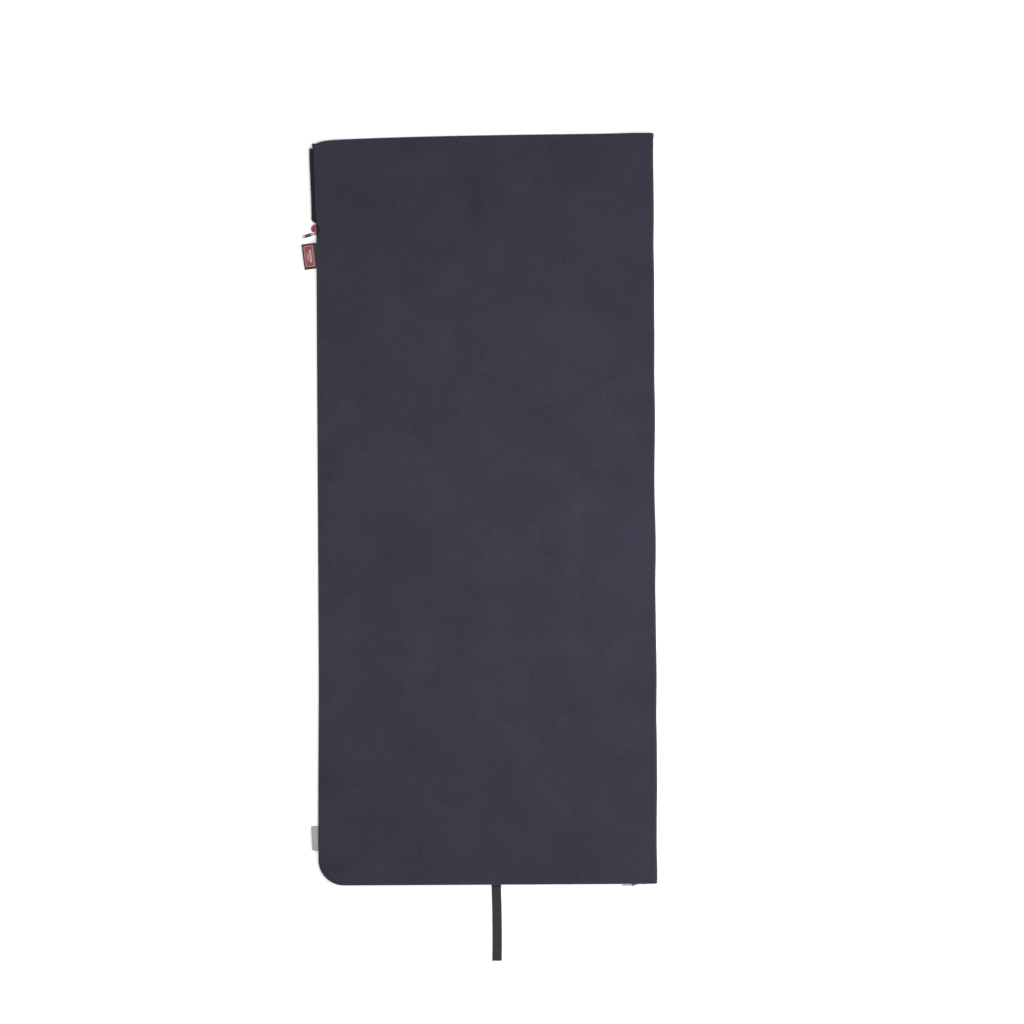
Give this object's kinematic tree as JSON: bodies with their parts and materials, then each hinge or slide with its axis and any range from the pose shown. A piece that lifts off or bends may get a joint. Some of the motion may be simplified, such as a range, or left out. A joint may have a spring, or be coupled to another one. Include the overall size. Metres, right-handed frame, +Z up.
{
  "type": "fleece sleeping bag",
  "caption": "Rectangular fleece sleeping blanket lying flat, zipped along one side and the foot, with snag-guarded slider, sewn labels and elastic roll-up loop.",
  "frame": {"origin": "on the floor under the middle of the blanket, on the underside of the back layer", "axes": "+Z up, +Y towards the open mouth, +X towards the folded side"},
  "size_m": [0.8952, 2.1012, 0.0228],
  "materials": {
    "fleece": "matte",
    "tape": "matte",
    "coil": "satin",
    "thread": "matte",
    "metal": "satin",
    "guard": "satin",
    "label": "matte",
    "care_label": "matte",
    "webbing": "matte"
  },
  "bodies": {
    "back": {"back_panel": "fleece", "fold_strip": "fleece", "back_zip_tape": "tape", "back_coil": "coil", "back_end_pin": "coil", "back_top_stop": "metal", "back_seam_thread": "thread", "back_hem_thread": "thread"},
    "front": {"front_panel": "fleece", "front_zip_tape": "tape", "front_coil": "coil", "front_end_pin": "coil", "front_top_stop": "metal", "front_seam_thread": "thread", "front_hem_thread": "thread", "side_label": "label", "care_label": "care_label"},
    "upper_slider": {"upper_slider_body": "metal", "upper_slider_guard": "guard"},
    "upper_link": {"upper_pull_link": "metal"},
    "upper_tab": {"upper_pull_tab": "metal"},
    "lower_slider": {"lower_slider_body": "metal"},
    "lower_tab": {"lower_pull_tab": "metal"},
    "loop": {"roll_loop": "webbing", "loop_bartack": "thread"}
  },
  "joints": [
    {"name": "front_fold", "type": "hinge", "parent": "back", "child": "front", "pos_m": [0.421, 0, 0.011], "axis": [0, 1, 0], "range_deg": [0, 180], "deforming": ["fold_strip"]},
    {"name": "upper_slider_travel", "type": "slide", "parent": "back", "child": "upper_slider", "axis": [0, 1, 0], "range_m": [-1.582, 0.191], "deforming": ["front_zip_tape", "back_zip_tape", "front_coil", "back_coil"]},
    {"name": "upper_link_swing", "type": "hinge", "parent": "upper_slider", "child": "upper_link", "pos_m": [-0.4321, 0.7017, 0.011], "axis": [0, 0, 1], "range_deg": [-12, 45]},
    {"name": "upper_tab_tilt", "type": "hinge", "parent": "upper_link", "child": "upper_tab", "pos_m": [-0.43993, 0.70004, 0.011], "axis": [-0.2079, 0.9781, 0], "range_deg": [0, 45]},
    {"name": "lower_slider_travel", "type": "slide", "parent": "back", "child": "lower_slider", "axis": [1, 0, 0], "range_m": [-0.723, 0.008], "deforming": ["front_zip_tape", "back_zip_tape", "front_coil", "back_coil"]},
    {"name": "lower_tab_swing", "type": "hinge", "parent": "lower_slider", "child": "lower_tab", "pos_m": [0.3667, -0.9566, 0.011], "axis": [0, 0, 1], "range_deg": [0, 165]},
    {"name": "loop_swing", "type": "hinge", "parent": "back", "child": "loop", "pos_m": [0.0185, -0.9547, 0.0012], "axis": [-1, 0, 0], "range_deg": [0, 80]}
  ]
}
